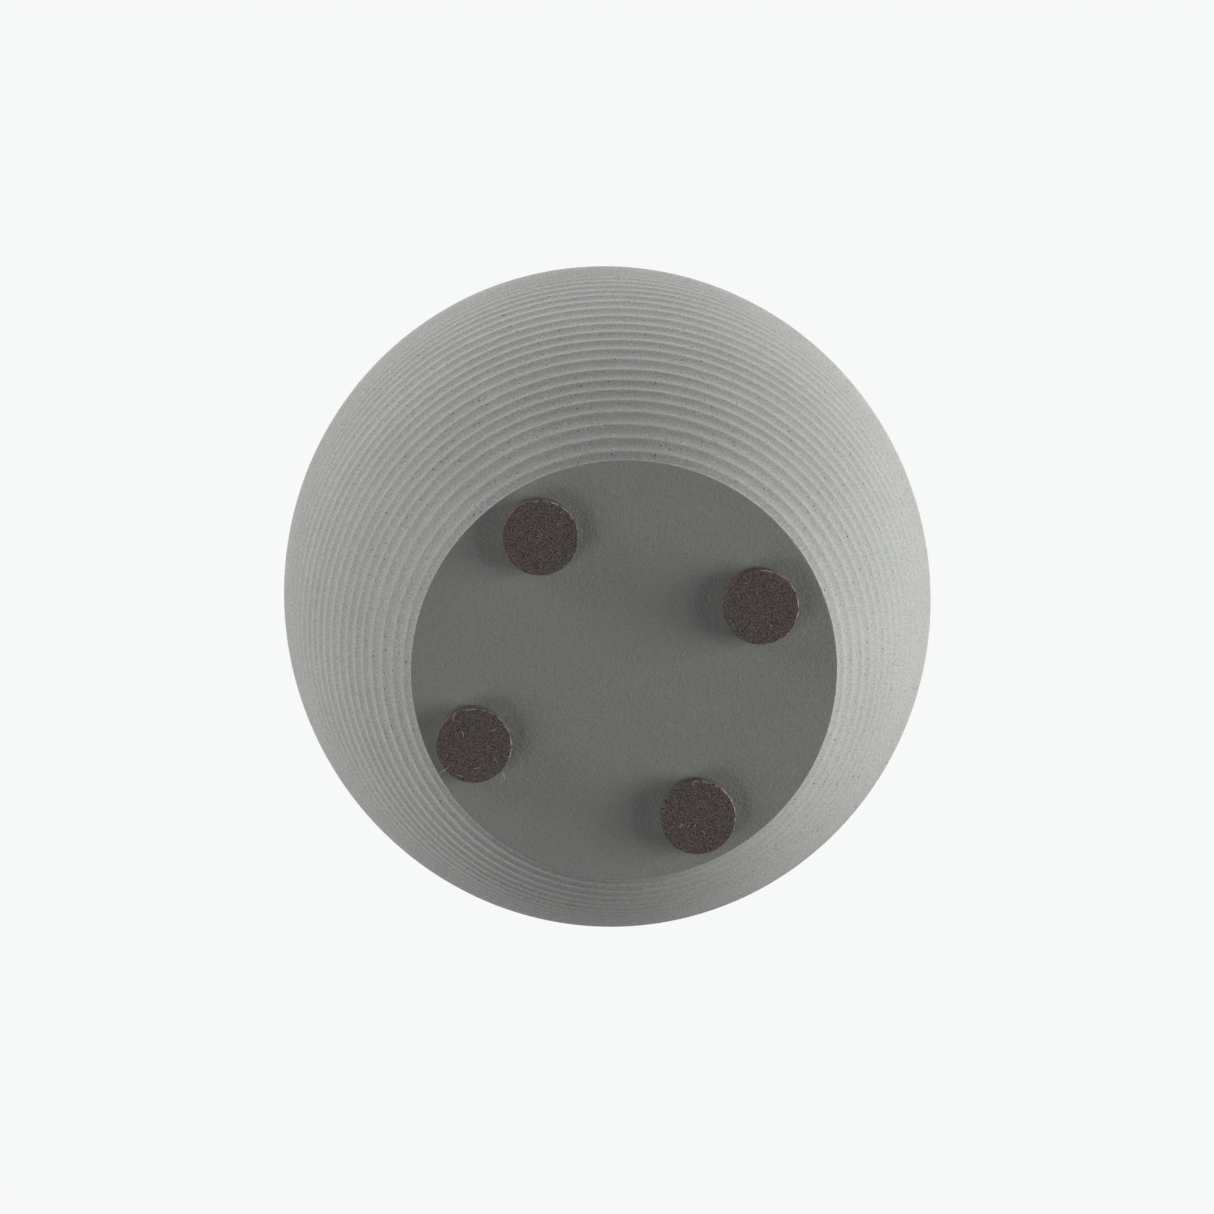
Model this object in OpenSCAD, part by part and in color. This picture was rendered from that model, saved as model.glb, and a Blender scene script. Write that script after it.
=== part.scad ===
// Ribbed barrel vase: one hollow casting that stands on four stick-on foam pads.
// The wall is a single circular arc, bulging from the flat base to the mouth,
// and shallow flutes of slightly uneven pitch ring it from base to rim.
// Origin: centre of the standing plane, under the pads. +Z is up, along the axis.

/* [Vase] */
// Radius of the flat base, where the wall starts
base_radius = 56.2; // [50:0.1:62]
// Radius of the widest ring
belly_radius = 92.2; // [88:0.1:100]
// Height of the widest ring above the flat base
belly_height = 124.6; // [115:0.1:135]
// Height of the casting, from the flat base to the rim
vase_height = 251; // [230:1:260]
// Thickness of the wall, behind the crests
wall_thickness = 6; // [4.5:0.5:9]
// Thickness of the floor
floor_thickness = 9; // [6:0.5:14]
// Width of the bevel inside, where the floor meets the wall
floor_bevel = 6; // [2:0.5:10]

/* [Flutes] */
// Number of flutes, one above the other
flute_count = 47; // [36:1:54]
// Depth of a flute below the crests beside it
flute_depth = 0.45; // [0.2:0.05:0.8]
// Width of the crest that is left between two flutes
crest_width = 0.3; // [0.2:0.05:0.8]
// How much of the lowest flute the flat base cuts away
lowest_flute_cut = 1.7; // [0.5:0.1:2.5]
// How far the crests wander off an even pitch, from base to rim, in 2, 4, 6 and 16 half waves
wander_2 = -1.2; // [-2:0.1:2]
wander_4 = -0.7; // [-1:0.1:1]
wander_6 = 0.5; // [-0.8:0.1:0.8]
wander_16 = -0.35; // [-0.5:0.05:0.5]

/* [Rim] */
// Width of the bevel along both edges of the rim
rim_bevel = 1; // [0.5:0.1:1.5]

/* [Pads] */
// Diameter of a stick-on pad
pad_diameter = 20; // [16:0.5:22]
// Thickness of a pad's foam
pad_thickness = 4; // [2:0.25:6]
// Thickness of the adhesive film behind a pad
adhesive_thickness = 0.25; // [0.15:0.05:0.5]
// How far the adhesive film stays inside the pad's edge
adhesive_inset = 0.3; // [0.1:0.1:1]

/* [Hidden] */

// Each pad's distance from the axis and its direction: they are stuck on by hand, unevenly
pad_places = [[42.5, -121.6], [39.7, -26.7], [43.8, 154.3], [43, 63]];

// Heights of the flat base, the floor, the widest ring and the rim
base_z = pad_thickness + adhesive_thickness;
floor_z = base_z + floor_thickness;
belly_z = base_z + belly_height;
rim_z = base_z + vase_height;

// The crests lie on one arc, whose centre is beyond the axis
bulge = belly_radius - base_radius;
arc_radius = (belly_height * belly_height + bulge * bulge) / (2 * bulge);
arc_x = belly_radius - arc_radius;
inner_arc_radius = arc_radius - wall_thickness;

// Angles along that arc, from its centre: the lowest flute's start and the rim
start_angle = -asin(belly_height / arc_radius) - lowest_flute_cut / arc_radius * 180 / PI;
rim_angle = asin((vase_height - belly_height) / arc_radius);
flute_step = (rim_angle - start_angle) / flute_count;

// How far along the arc crest i lies off an even pitch
function crest_shift(i) =
    let (turn = 180 * i / flute_count)
        wander_2 * sin(2 * turn) + wander_4 * sin(4 * turn)
        + wander_6 * sin(6 * turn) + wander_16 * sin(16 * turn);
// Angle of crest i, from the arc's centre
function crest_angle(i) = start_angle + i * flute_step + crest_shift(i) / arc_radius * 180 / PI;
// Half the angle that the flute above crest i takes up, less one crest
function half_angle(i) =
    (crest_angle(i + 1) - crest_angle(i) - crest_width / arc_radius * 180 / PI) / 2;
// Radius of the circle outside the wall that cuts a flute of this half angle, and its centre
function cut_radius(half) =
    (pow(arc_radius * sin(half), 2) + pow(flute_depth, 2)) / (2 * flute_depth);
function cut_centre(half) = arc_radius * cos(half) - flute_depth + cut_radius(half);

// Distance of the wall's inner face from the axis, at a height
function inner_radius(z) = arc_x + sqrt(pow(inner_arc_radius, 2) - pow(z - belly_z, 2));
// Distance of the crests' arc from the axis, at a height
function outer_radius(z) = arc_x + sqrt(pow(arc_radius, 2) - pow(z - belly_z, 2));

// Half section inside an arc about the wall's centre, between two heights
module barrel_section(radius, low, high) {
    intersection() {
        translate([arc_x, belly_z]) circle(r = radius, $fn = 720);
        translate([0, low]) square([2 * belly_radius, high - low]);
    }
}

module flute_sections() {
    for (i = [0 : flute_count - 1]) {
        half = half_angle(i);
        centre = cut_centre(half);
        angle = (crest_angle(i) + crest_angle(i + 1)) / 2;
        translate([arc_x + centre * cos(angle), belly_z + centre * sin(angle)])
            circle(r = cut_radius(half), $fn = 120);
    }
}

// The hollow, with its bevelled corner at the floor, reaching past the rim
module hollow_section() {
    corner_x = inner_radius(floor_z);
    difference() {
        barrel_section(inner_arc_radius, floor_z, rim_z + 5);
        polygon([[corner_x - floor_bevel, floor_z - 1],
                 [corner_x - floor_bevel, floor_z],
                 [inner_radius(floor_z + floor_bevel) + 1, floor_z + floor_bevel + 1],
                 [corner_x + 3 * floor_bevel, floor_z - 1]]);
    }
}

// Both bevels of the rim: everything above two slopes
module rim_bevels() {
    outside = outer_radius(rim_z);
    inside = inner_radius(rim_z);
    reach = 3 * rim_bevel;
    polygon([[outside - rim_bevel, rim_z], [outside + reach, rim_z - rim_bevel - reach],
             [outside + reach, rim_z + reach], [outside - rim_bevel, rim_z + reach]]);
    polygon([[inside + rim_bevel, rim_z], [inside - reach, rim_z - rim_bevel - reach],
             [inside - reach, rim_z + reach], [inside + rim_bevel, rim_z + reach]]);
}

module vase_body() {
    color([0.68, 0.69, 0.67])
        rotate_extrude($fn = 240)
            difference() {
                barrel_section(arc_radius, base_z, rim_z);
                flute_sections();
                hollow_section();
                rim_bevels();
            }
}

// Puts its children at the place of one pad, at a height
module at_pad(number, z) {
    place = pad_places[number - 1];
    translate([place[0] * cos(place[1]), place[0] * sin(place[1]), z]) children();
}

module pad(number) {
    color([0.27, 0.22, 0.21])
        at_pad(number, 0) cylinder(h = pad_thickness, d = pad_diameter, $fn = 96);
}

module pad_adhesive(number) {
    color([0.85, 0.84, 0.80])
        at_pad(number, pad_thickness)
            cylinder(h = adhesive_thickness, d = pad_diameter - 2 * adhesive_inset, $fn = 96);
}

vase_body();
pad(1);  // pad_1
pad(2);  // pad_2
pad(3);  // pad_3
pad(4);  // pad_4
pad_adhesive(1);  // pad_adhesive_1
pad_adhesive(2);  // pad_adhesive_2
pad_adhesive(3);  // pad_adhesive_3
pad_adhesive(4);  // pad_adhesive_4
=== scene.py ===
"""Looks of a ribbed barrel vase on four foam pads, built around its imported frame.

All sizes are in metres, in the frame's own axes: +Z is up, along the vase's axis, and
the vase stands on z = 0. The camera looks up at the base from below.
"""

import math
import random

import bpy
import numpy as np
from mathutils import Matrix, Vector
from mathutils.noise import noise as smooth_noise

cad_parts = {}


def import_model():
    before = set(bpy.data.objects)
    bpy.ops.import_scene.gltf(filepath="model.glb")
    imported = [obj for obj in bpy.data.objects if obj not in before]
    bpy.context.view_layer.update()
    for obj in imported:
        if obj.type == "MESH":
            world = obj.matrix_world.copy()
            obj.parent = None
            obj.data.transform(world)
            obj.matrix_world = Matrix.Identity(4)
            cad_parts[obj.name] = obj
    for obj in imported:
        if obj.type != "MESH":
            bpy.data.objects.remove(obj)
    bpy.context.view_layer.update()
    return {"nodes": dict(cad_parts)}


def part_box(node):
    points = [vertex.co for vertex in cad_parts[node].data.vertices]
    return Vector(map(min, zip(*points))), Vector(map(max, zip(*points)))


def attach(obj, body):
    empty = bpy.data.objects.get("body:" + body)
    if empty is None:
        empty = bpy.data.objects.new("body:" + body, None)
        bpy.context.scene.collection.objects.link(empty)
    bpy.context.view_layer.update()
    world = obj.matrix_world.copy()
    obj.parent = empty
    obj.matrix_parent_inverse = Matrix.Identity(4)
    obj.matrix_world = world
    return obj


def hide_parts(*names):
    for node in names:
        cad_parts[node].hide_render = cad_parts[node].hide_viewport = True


MM = 0.001
SEED = 7

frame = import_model()

# ---- sizes, from the frame and from the design's driving dimensions ----

body_low, body_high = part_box("vase_body")
BASE_Z, RIM_Z = body_low.z, body_high.z
BELLY_RADIUS = body_high.x
BASE_RADIUS = 56.2 * MM
BELLY_Z = BASE_Z + 124.6 * MM
WALL = 6 * MM
FLOOR_Z = BASE_Z + 9 * MM
FLUTES = 47
FLUTE_DEPTH = 0.45 * MM
CREST_WIDTH = 0.3 * MM
LOWEST_FLUTE_CUT = 1.7 * MM
# how far the edges of the base, the rim and the inside floor are eased
BASE_EDGE_ROUND = 0.35 * MM
RIM_ROUND = 1.3 * MM
FLOOR_ROUND = 6.5 * MM
# half waves from base to rim, and how far each moves a crest off an even pitch
WANDER = {2: -1.2 * MM, 4: -0.7 * MM, 6: 0.5 * MM, 16: -0.35 * MM}

BULGE = BELLY_RADIUS - BASE_RADIUS
ARC = ((BELLY_Z - BASE_Z) ** 2 + BULGE**2) / (2 * BULGE)
ARC_X = BELLY_RADIUS - ARC
START_ANGLE = -math.asin((BELLY_Z - BASE_Z) / ARC) - LOWEST_FLUTE_CUT / ARC
RIM_ANGLE = math.asin((RIM_Z - BELLY_Z) / ARC)


# ---- mesh making ----


def new_object(name, points, faces, materials, indices=None, smooth=True):
    mesh = bpy.data.meshes.new(name)
    mesh.from_pydata([tuple(p) for p in points], [], faces)
    for material in materials:
        mesh.materials.append(material)
    if indices is not None:
        mesh.polygons.foreach_set("material_index", indices)
    mesh.polygons.foreach_set("use_smooth", [smooth] * len(mesh.polygons))
    mesh.update()
    made = bpy.data.objects.new(name, mesh)
    bpy.context.scene.collection.objects.link(made)
    return made


def lathe_faces(rows, segments):
    """Faces of a closed lathe: a pole, rows of rings, and a pole at the far end."""
    faces, last = [], 1 + (rows - 1) * segments
    far_pole = 1 + rows * segments
    for i in range(segments):
        j = (i + 1) % segments
        faces.append((0, 1 + j, 1 + i))
        faces.append((far_pole, last + i, last + j))
    for k in range(rows - 1):
        a, b = 1 + k * segments, 1 + (k + 1) * segments
        for i in range(segments):
            j = (i + 1) % segments
            faces.append((a + i, a + j, b + j, b + i))
    return faces


def rings(profile, segments):
    """Points of the rings, as an array: ring, segment, xyz."""
    turn = np.linspace(0, 2 * math.pi, segments, endpoint=False)
    r, z = np.array([p[0] for p in profile]), np.array([p[1] for p in profile])
    return np.stack(
        [np.outer(r, np.cos(turn)), np.outer(r, np.sin(turn)), np.outer(z, np.ones(segments))], axis=2
    )


# ---- the vase ----


def on_arc(radius, angle):
    return ARC_X + radius * math.cos(angle), BELLY_Z + radius * math.sin(angle)


def crest_angle(i):
    """Angle of crest i on the arc: the pitch wanders a little."""
    turn = math.pi * i / FLUTES
    shift = sum(reach * math.sin(waves * turn) for waves, reach in WANDER.items())
    return START_ANGLE + (RIM_ANGLE - START_ANGLE) * i / FLUTES + shift / ARC


def fluted_wall(points_per_flute=7):
    """(radius, height) up the outside, from the base's edge to the rim."""
    line = []
    for i in range(FLUTES):
        middle = (crest_angle(i) + crest_angle(i + 1)) / 2
        half = (crest_angle(i + 1) - crest_angle(i) - CREST_WIDTH / ARC) / 2
        cut = ((ARC * math.sin(half)) ** 2 + FLUTE_DEPTH**2) / (2 * FLUTE_DEPTH)
        centre = ARC * math.cos(half) - FLUTE_DEPTH + cut
        for t in np.linspace(-1, 1, points_per_flute):
            off = t * half
            # where the ray at this angle meets the cutting circle
            radius = centre * math.cos(off) - math.sqrt(cut**2 - (centre * math.sin(off)) ** 2)
            line.append(on_arc(radius, middle + off))
    return [p for p in line if p[1] > BASE_Z + 0.2 * MM and p[1] < RIM_Z - 0.6 * MM]


def rounded(corner, before, after, radius, points=5):
    """A corner of the profile, rounded by a quadratic curve."""
    c, a, b = Vector(corner), Vector(before), Vector(after)
    a = c + (a - c).normalized() * radius
    b = c + (b - c).normalized() * radius
    curve = []
    for t in np.linspace(0, 1, points):
        p = a * (1 - t) ** 2 + c * 2 * t * (1 - t) + b * t**2
        curve.append((p.x, p.y))
    return curve


def inner_wall(rows=36):
    """(radius, height) down the inside, from the rim to the floor's corner."""
    inner = ARC - WALL
    top = math.asin((RIM_Z - 0.8 * MM - BELLY_Z) / inner)
    low = math.asin((FLOOR_Z + 7 * MM - BELLY_Z) / inner)
    return [on_arc(inner, a) for a in np.linspace(top, low, rows)]


def vase(materials, segments=240):
    wall = fluted_wall()
    inside = inner_wall()
    rim_out = (ARC_X + math.sqrt(ARC**2 - (RIM_Z - BELLY_Z) ** 2), RIM_Z)
    rim_in = (ARC_X + math.sqrt((ARC - WALL) ** 2 - (RIM_Z - BELLY_Z) ** 2), RIM_Z)
    base_edge = (BASE_RADIUS, BASE_Z)
    floor_edge = (ARC_X + math.sqrt((ARC - WALL) ** 2 - (FLOOR_Z - BELLY_Z) ** 2), FLOOR_Z)
    base = [(r, BASE_Z) for r in np.linspace(3 * MM, BASE_RADIUS - 0.8 * MM, 14)]
    base += rounded(base_edge, base[-1], wall[0], BASE_EDGE_ROUND, 4)
    rim = rounded(rim_out, wall[-1], rim_in, RIM_ROUND)
    rim += rounded(rim_in, rim_out, inside[0], RIM_ROUND)
    floor = rounded(floor_edge, inside[-1], (0, FLOOR_Z), FLOOR_ROUND, 7)
    floor += [(r, FLOOR_Z) for r in np.linspace(floor[-1][0] - 4 * MM, 4 * MM, 9)]
    profile = base + wall + rim + inside + floor
    grid = rings(profile, segments)
    points = [(0, 0, BASE_Z), *grid.reshape(-1, 3), (0, 0, FLOOR_Z)]
    faces = lathe_faces(len(profile), segments)
    # which finish each band of faces takes: 0 the wall, 1 the base, 2 the inside
    ends = [len(base), len(base) + len(wall) + len(rim) // 2]
    band = [1 if k < ends[0] - 2 else 0 if k < ends[1] else 2 for k in range(len(profile) - 1)]
    indices = [1, 2] * segments + [b for b in band for _ in range(segments)]
    piece = new_object("vase", points, faces, materials, indices)
    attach(piece, "root")
    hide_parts("vase_body")
    return piece


# ---- materials ----


class Nodes:
    """A short way to write a material's node tree."""

    def __init__(self, name):
        self.material = bpy.data.materials.new(name)
        self.material.use_nodes = True
        self.tree = self.material.node_tree
        self.shader = self.tree.nodes["Principled BSDF"]
        self.place = self.add("ShaderNodeTexCoord").outputs["Object"]

    def add(self, kind, **inputs):
        node = self.tree.nodes.new(kind)
        for key, value in inputs.items():
            self.put(node.inputs[key.replace("_", " ")], value)
        return node

    def put(self, socket, value):
        if isinstance(value, bpy.types.NodeSocket):
            self.tree.links.new(value, socket)
        else:
            socket.default_value = value

    def noise(self, size, detail=2.0, rough=0.5):
        """A noise whose features are about size metres across."""
        node = self.add("ShaderNodeTexNoise", Scale=1 / size, Detail=detail, Roughness=rough)
        self.tree.links.new(self.place, node.inputs["Vector"])
        return node.outputs["Fac"]

    def pinholes(self, spacing, radius, share):
        """Dots in some of the cells: how far a dot covers, and the height of the surface."""
        cells = self.add("ShaderNodeTexVoronoi", Scale=1 / spacing)
        self.tree.links.new(self.place, cells.inputs["Vector"])
        dot = self.ramp(cells.outputs["Distance"], radius, radius * 0.4)
        chance = self.add("ShaderNodeSeparateColor", Color=cells.outputs["Color"])
        chosen = self.ramp(chance.outputs["Red"], share, share - 0.01)
        cover = self.math("MULTIPLY", dot, chosen)
        return cover, self.math("SUBTRACT", 1.0, cover)

    def ramp(self, value, low, high, out_low=0.0, out_high=1.0):
        node = self.add("ShaderNodeMapRange", Value=value)
        node.inputs["From Min"].default_value = low
        node.inputs["From Max"].default_value = high
        node.inputs["To Min"].default_value = out_low
        node.inputs["To Max"].default_value = out_high
        return node.outputs["Result"]

    def mix(self, amount, a, b, blend="MIX"):
        node = self.add("ShaderNodeMix")
        node.data_type, node.blend_type = "RGBA", blend
        for name, value in (("Factor", amount), ("A", a), ("B", b)):
            socket = next(s for s in node.inputs if s.name == name and s.enabled)
            self.put(socket, value)
        return next(s for s in node.outputs if s.enabled)

    def math(self, operation, a, b):
        node = self.add("ShaderNodeMath")
        node.operation = operation
        self.put(node.inputs[0], a)
        self.put(node.inputs[1], b)
        return node.outputs[0]

    def bump(self, height, distance, strength=1.0, normal=None):
        node = self.add("ShaderNodeBump", Height=height, Distance=distance, Strength=strength)
        if normal is not None:
            self.tree.links.new(normal, node.inputs["Normal"])
        return node.outputs["Normal"]

    def finish(self, **inputs):
        for key, value in inputs.items():
            self.put(self.shader.inputs[key.replace("_", " ")], value)
        return self.material


def grey(level, warm=0.0):
    return (level * (1 + warm), level, level * (1 - warm), 1)


def sandy_coat():
    """Grey paint over fine sand, with a pinhole here and there."""
    n = Nodes("sandy_coat")
    grain = n.noise(0.55 * MM, detail=3, rough=0.75)
    cloud = n.noise(30 * MM, detail=3)
    colour = n.mix(n.ramp(grain, 0.33, 0.67), (0.33, 0.339, 0.326, 1), (0.578, 0.59, 0.562, 1))
    colour = n.mix(n.ramp(cloud, 0.35, 0.65), colour, grey(0.95), "MULTIPLY")
    holes, depth = n.pinholes(1.8 * MM, 0.19, 0.35)
    colour = n.mix(holes, colour, grey(0.35), "MULTIPLY")
    normal = n.bump(depth, 0.2 * MM, 0.8, n.bump(grain, 0.22 * MM, 0.8))
    return n.finish(Base_Color=colour, Roughness=0.9, Normal=normal)


def base_paint():
    """The same paint, smoother, under the base."""
    n = Nodes("base_paint")
    peel = n.noise(1.2 * MM, detail=2)
    grain = n.noise(0.55 * MM, detail=2, rough=0.6)
    cloud = n.noise(25 * MM, detail=3)
    colour = n.mix(n.ramp(grain, 0.3, 0.7), (0.349, 0.361, 0.343, 1), (0.435, 0.452, 0.428, 1))
    colour = n.mix(n.ramp(cloud, 0.35, 0.65), colour, grey(0.96), "MULTIPLY")
    normal = n.bump(peel, 0.16 * MM, 0.8, n.bump(grain, 0.14 * MM, 0.9))
    return n.finish(Base_Color=colour, Roughness=0.6, Normal=normal)


def inside_finish():
    """The bare casting inside."""
    n = Nodes("inside_finish")
    grain = n.noise(0.9 * MM, detail=3, rough=0.6)
    cloud = n.noise(40 * MM, detail=4)
    colour = n.mix(n.ramp(cloud, 0.3, 0.7), grey(0.36, 0.01), grey(0.44, 0.015))
    colour = n.mix(n.ramp(grain, 0.35, 0.65), colour, grey(0.92), "MULTIPLY")
    return n.finish(Base_Color=colour, Roughness=0.85, Normal=n.bump(grain, 0.1 * MM, 0.6))


def foam():
    """Dark brown foam of coarse, open cells, mottled purple and olive."""
    n = Nodes("pad_foam")
    grain = n.noise(0.35 * MM, detail=3, rough=0.75)
    patch = n.noise(4 * MM, detail=2)
    colour = n.mix(n.ramp(patch, 0.35, 0.65), (0.332, 0.262, 0.258, 1), (0.316, 0.274, 0.245, 1))
    colour = n.mix(n.ramp(grain, 0.66, 0.36), colour, grey(0.15), "MULTIPLY")
    light, _ = n.pinholes(1.3 * MM, 0.15, 0.4)
    colour = n.mix(light, colour, (0.42, 0.36, 0.33, 1))
    dark, depth = n.pinholes(0.9 * MM, 0.32, 0.6)
    colour = n.mix(dark, colour, grey(0.45), "MULTIPLY")
    normal = n.bump(depth, 0.15 * MM, 0.8, n.bump(grain, 0.2 * MM, 0.9))
    return n.finish(Base_Color=colour, Roughness=0.95, Specular_IOR_Level=0.25, Normal=normal)


def film():
    """Pale adhesive film."""
    n = Nodes("adhesive_film")
    cloud = n.noise(2 * MM, detail=2)
    colour = n.mix(n.ramp(cloud, 0.3, 0.7), (0.6, 0.57, 0.5, 1), (0.7, 0.68, 0.62, 1))
    return n.finish(Base_Color=colour, Roughness=0.45)


# ---- pads ----

DIE_CUT = 0.08 * MM
RAGGED = 0.05 * MM
DIMPLE = 0.05 * MM


def foam_pad(number, material, segments=240):
    """A die-cut foam disc, with a worn lower edge, a little uneven all over."""
    low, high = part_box(f"pad_{number}")
    centre, radius = (low + high) / 2, (high.x - low.x) / 2
    edge = 0.2 * MM
    face = [(r, low.z) for r in np.linspace(0.4 * MM, radius - 2 * edge, 44)]
    face += rounded((radius, low.z), face[-1], (radius, high.z), edge * 1.4, 6)
    side = [(radius, z) for z in np.linspace(low.z + 2 * edge, high.z, 12)]
    back = [(r, high.z) for r in np.linspace(radius - edge, 1 * MM, 6)]
    profile = face + side + back
    grid = rings(profile, segments)
    for k in range(len(face) + len(side)):
        for point in grid[k]:
            spot = Vector((point[0], point[1], point[2] + number)) / MM
            # the cut edge wanders in by up to DIE_CUT, and the face is dimpled inwards
            wander = smooth_noise(Vector((point[0], point[1], 9 * number * MM)) / (6 * MM))
            ragged = smooth_noise(spot / 0.7)
            shrink = 1 - (DIE_CUT * (0.5 + wander / 2) + RAGGED * abs(ragged)) / radius
            point[:2] *= shrink
            if k < len(face):
                point[2] += DIMPLE * (1.5 + smooth_noise(spot / 0.9) + 0.5 * smooth_noise(spot / 3))
    grid += np.array([centre.x, centre.y, 0])
    face_pole = (centre.x, centre.y, low.z + 1.5 * DIMPLE)
    points = [face_pole, *grid.reshape(-1, 3), (centre.x, centre.y, high.z)]
    piece = new_object(f"foam_pad_{number}", points, lathe_faces(len(profile), segments), [material])
    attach(piece, "root")
    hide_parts(f"pad_{number}")
    return piece


# ---- lint, and painted highlights on the pads' edges ----

# Fibres and crumbs on the base, and fibres on each pad from its centre:
# place in mm, length in mm, direction in degrees
BASE_LINT = [
    (-4.3, -47.2, 2.2, 55), (-5.6, -49.0, 1.2, 95), (10.4, -30.8, 0.5, 0), (-15.3, -2.5, 0.7, 20),
    (-8.7, -0.3, 0.7, 70), (17.9, -8.7, 0.8, 100), (30.5, 1.5, 0.5, 80), (-33.0, 33.0, 0.9, 130),
]
PAD_LINT = {
    1: [(-0.6, -0.3, 0.7, 20), (0.3, -0.9, 0.5, 70), (4.4, -3.6, 0.7, 80), (5.1, -6.6, 0.9, 150)],
    2: [(-4.0, -6.5, 0.6, 10), (-6.1, -3.8, 0.5, 60), (2.6, 5.2, 0.7, 30), (-1.2, 6.3, 0.6, 100)],
    3: [(-5.8, -8.0, 2.4, 140), (-2.6, -3.6, 1.6, 5), (4.9, -3.7, 2.2, 15), (5.6, 3.6, 2.0, 50),
        (-7.2, 7.0, 4.0, -8), (-4.0, 7.9, 2.0, 20), (8.2, 7.8, 2.6, 45), (0.8, 6.4, 1.4, 120)],
    4: [(-4.4, 2.7, 1.6, 5), (-2.4, 2.6, 1.1, 10), (-0.6, 2.4, 0.9, -20), (1.6, 4.0, 1.2, 60),
        (8.4, 5.6, 1.6, -35), (-1.4, -8.8, 1.0, 60), (2.2, -9.0, 0.8, 20)],
}
FIBRE_RADIUS = 0.07 * MM
# thickness of the pale strips that paint a highlight along the lit side of each pad's edge
RIM_HIGHLIGHT_RADIUS = 0.1 * MM


def tube(points, radius, mesh, sides=5):
    """Adds a thin tube along the points to mesh, a pair of lists of points and faces."""
    verts, faces = mesh
    first = len(verts)
    for k, p in enumerate(points):
        ahead = (points[min(k + 1, len(points) - 1)] - points[max(k - 1, 0)]).normalized()
        across = ahead.cross(Vector((0, 0, 1))).normalized()
        up = across.cross(ahead)
        taper = 0.4 if k in (0, len(points) - 1) else 1.0
        for s in range(sides):
            turn = 2 * math.pi * s / sides
            verts.append(p + (across * math.cos(turn) + up * math.sin(turn)) * radius * taper)
    for k in range(len(points) - 1):
        a, b = first + k * sides, first + (k + 1) * sides
        for s in range(sides):
            t = (s + 1) % sides
            faces.append((a + s, a + t, b + t, b + s))
    faces.append(tuple(first + s for s in reversed(range(sides))))
    faces.append(tuple(len(verts) - sides + s for s in range(sides)))


def fibre(place, length, direction, rng, mesh, radius=FIBRE_RADIUS):
    """A short hair lying flat, bent at random."""
    heading, step = math.radians(direction), length / 6
    points = [Vector(place) - Vector((math.cos(heading), math.sin(heading), 0)) * length / 2]
    bend = rng.uniform(-0.35, 0.35)
    for _ in range(6):
        heading += bend + rng.uniform(-0.25, 0.25)
        points.append(points[-1] + Vector((math.cos(heading), math.sin(heading), 0)) * step)
    tube(points, radius, mesh)


def lint_and_rim_highlight(material):
    """Pale fibres on the base and the pads, and pale strips along the upper right of each pad's edge:
    a painted highlight where the key light catches it.
    """
    rng, mesh = random.Random(SEED), ([], [])
    for x, y, length, direction in BASE_LINT:
        fibre((x * MM, y * MM, BASE_Z - 0.02 * MM), length * MM, direction, rng, mesh)
    for number, hairs in PAD_LINT.items():
        low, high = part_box(f"pad_{number}")
        centre, radius = (low + high) / 2, (high.x - low.x) / 2
        for x, y, length, direction in hairs:
            spot = (centre.x + x * MM, centre.y + y * MM, low.z + FIBRE_RADIUS)
            fibre(spot, length * MM, direction, rng, mesh)
        # pale strips along the edge from -95° to 10°, the side the key light catches: a painted
        # highlight
        start = -95 + rng.uniform(-10, 10)
        while start < 10:
            sweep = rng.uniform(6, 22)
            path = []
            for t in np.linspace(0, 1, 6):
                turn = math.radians(start + sweep * t)
                reach = radius - 0.3 * MM + rng.uniform(-0.05, 0.05) * MM
                away = Vector((math.cos(turn), math.sin(turn), 0)) * reach
                path.append(Vector((centre.x, centre.y, low.z + RIM_HIGHLIGHT_RADIUS)) + away)
            tube(path, RIM_HIGHLIGHT_RADIUS * rng.uniform(0.6, 1.0), mesh)
            start += sweep + rng.uniform(0, 6)
    piece = new_object("lint_and_rim_highlight", *mesh, [material])
    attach(piece, "root")
    return piece


def pale_lint_and_rim_highlight():
    """Pale dust-coloured fibre. The same pale colour also makes the painted highlight strips on the
    pads' edges.
    """
    n = Nodes("pale_lint_and_rim_highlight")
    tint = n.noise(3 * MM)
    colour = n.mix(n.ramp(tint, 0.35, 0.65), (0.78, 0.73, 0.68, 1), (0.5, 0.46, 0.42, 1))
    return n.finish(Base_Color=colour, Roughness=0.8)


# ---- stage ----

# What the camera sees behind the vase, and the light that reaches it from all round
BACKDROP = (0.930, 0.947, 0.939)
AMBIENT = 0.05
# How far out the floor is solid, and where it has faded into the backdrop
FLOOR_SOLID, FLOOR_GONE = 0.25, 0.9
LAMP_DISTANCE = 1.6
LAMP_SIZE = 0.9


def world():
    made = bpy.data.worlds.new("studio")
    bpy.context.scene.world = made
    made.use_nodes = True
    nodes, links = made.node_tree.nodes, made.node_tree.links
    nodes.clear()
    ray = nodes.new("ShaderNodeLightPath")
    seen, light = nodes.new("ShaderNodeBackground"), nodes.new("ShaderNodeBackground")
    seen.inputs["Color"].default_value = (*BACKDROP, 1)
    light.inputs["Color"].default_value = (1, 1, 1, 1)
    light.inputs["Strength"].default_value = AMBIENT
    mix, out = nodes.new("ShaderNodeMixShader"), nodes.new("ShaderNodeOutputWorld")
    links.new(ray.outputs["Is Camera Ray"], mix.inputs[0])
    links.new(light.outputs[0], mix.inputs[1])
    links.new(seen.outputs[0], mix.inputs[2])
    links.new(mix.outputs[0], out.inputs[0])


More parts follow.
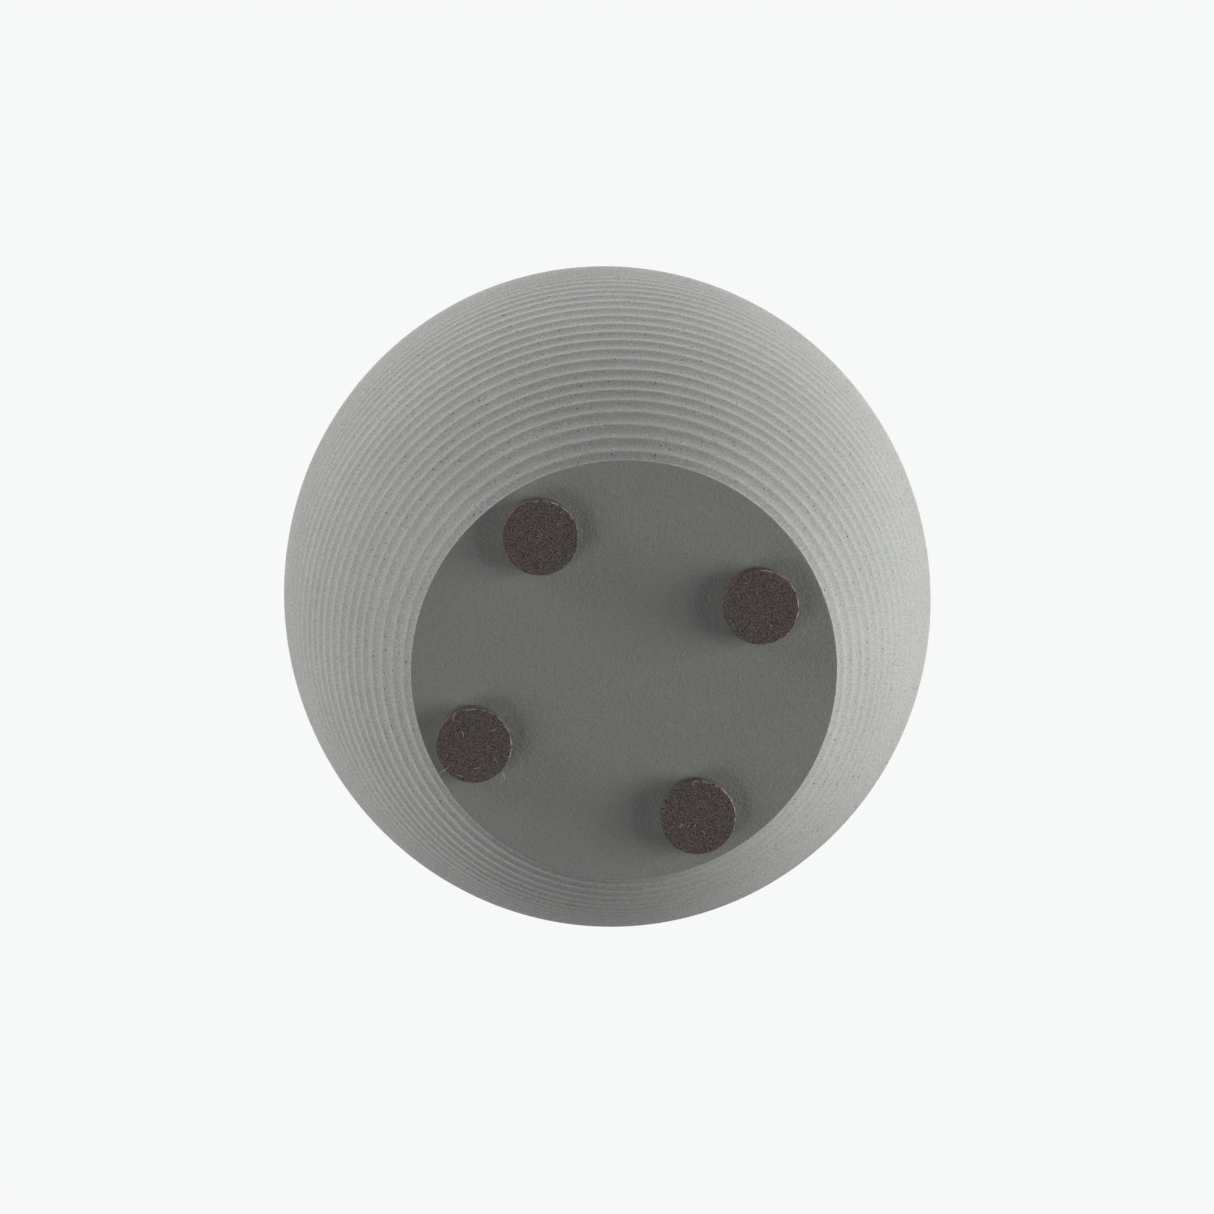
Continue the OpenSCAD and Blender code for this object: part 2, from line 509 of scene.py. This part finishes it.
def studio_floor(radius=3.0):
    """A pale floor, seen from above only so as not to hide the base, that fades into the backdrop."""
    n = Nodes("studio_floor")
    n.finish(Base_Color=(0.8, 0.81, 0.805, 1), Roughness=0.9)
    nodes, links = n.tree.nodes, n.tree.links
    ray, side = nodes.new("ShaderNodeLightPath"), nodes.new("ShaderNodeNewGeometry")
    front = n.math("SUBTRACT", 1.0, side.outputs["Backfacing"])
    reach = n.add("ShaderNodeVectorMath")
    reach.operation = "LENGTH"
    links.new(n.place, reach.inputs[0])
    near = n.ramp(reach.outputs["Value"], FLOOR_GONE, FLOOR_SOLID)
    shown = n.math("MULTIPLY", n.math("MULTIPLY", ray.outputs["Is Camera Ray"], front), near)
    clear, mix = nodes.new("ShaderNodeBsdfTransparent"), nodes.new("ShaderNodeMixShader")
    links.new(shown, mix.inputs[0])
    links.new(clear.outputs[0], mix.inputs[1])
    links.new(n.shader.outputs[0], mix.inputs[2])
    links.new(mix.outputs[0], nodes["Material Output"].inputs["Surface"])
    turn = np.linspace(0, 2 * math.pi, 96, endpoint=False)
    ring = [(radius * math.cos(a), radius * math.sin(a), 0) for a in turn]
    piece = new_object("studio_floor", ring, [tuple(range(96))], [n.material], smooth=False)


def softbox(name, azimuth, elevation, power):
    """A square lamp aimed at the middle of the vase, in degrees. Azimuth 0 is +X and 90 is +Y."""
    data = bpy.data.lights.new(name, "AREA")
    data.shape, data.size, data.energy = "SQUARE", LAMP_SIZE, power
    lamp = bpy.data.objects.new(name, data)
    a, e = math.radians(azimuth), math.radians(elevation)
    away = Vector((math.cos(a) * math.cos(e), math.sin(a) * math.cos(e), math.sin(e)))
    lamp.location = Vector((0, 0, BELLY_Z)) + away * LAMP_DISTANCE
    lamp.rotation_mode = "QUATERNION"
    lamp.rotation_quaternion = (-away).to_track_quat("-Z", "Y")
    lamp.visible_camera = False
    bpy.context.scene.collection.objects.link(lamp)
    return lamp


def lights():
    """Soft light from +X, weaker light from -X and -Y, and grazing light from behind the base."""
    softbox("key", -2, -5, 19)
    softbox("key_low", 0, -20, 10.5)
    softbox("left", 210, -5, 13.5)
    softbox("left_front", 150, -35, 5.4)
    softbox("left_back", 240, 55, 5.2)
    softbox("left_behind", 180, 60, 6)
    softbox("top", -90, 40, 7.8)
    softbox("top_back", -60, 55, 11)
    softbox("bottom_back", 120, 40, 13.2)


def camera():
    """Below the vase, aimed a little off the base's centre, with the long lens of a product shot."""
    data = bpy.data.cameras.new("camera")
    data.lens, data.sensor_width = 148.3, 36
    data.clip_start, data.clip_end = 0.01, 50
    made = bpy.data.objects.new("camera", data)
    eye = Vector((-56.3, -243.3, -1284.2)) * MM
    aim = Vector((-4.7, -17.2, 4.25)) * MM
    ahead = (aim - eye).normalized()
    right = (Vector((1, 0, 0)) - ahead * ahead.x).normalized()
    up = right.cross(ahead)
    made.matrix_world = Matrix.Translation(eye) @ Matrix((right, up, -ahead)).transposed().to_4x4()
    bpy.context.scene.collection.objects.link(made)
    bpy.context.scene.camera = made


bpy.context.scene.view_settings.view_transform = "Standard"
camera()
vase([sandy_coat(), base_paint(), inside_finish()])
pad_foam = foam()
for pad in (1, 2, 3, 4):
    foam_pad(pad, pad_foam)
lint_and_rim_highlight(pale_lint_and_rim_highlight())
adhesive = film()
for pad in (1, 2, 3, 4):
    node = frame["nodes"][f"pad_adhesive_{pad}"]
    node.data.materials.clear()
    node.data.materials.append(adhesive)
world()
studio_floor()
lights()
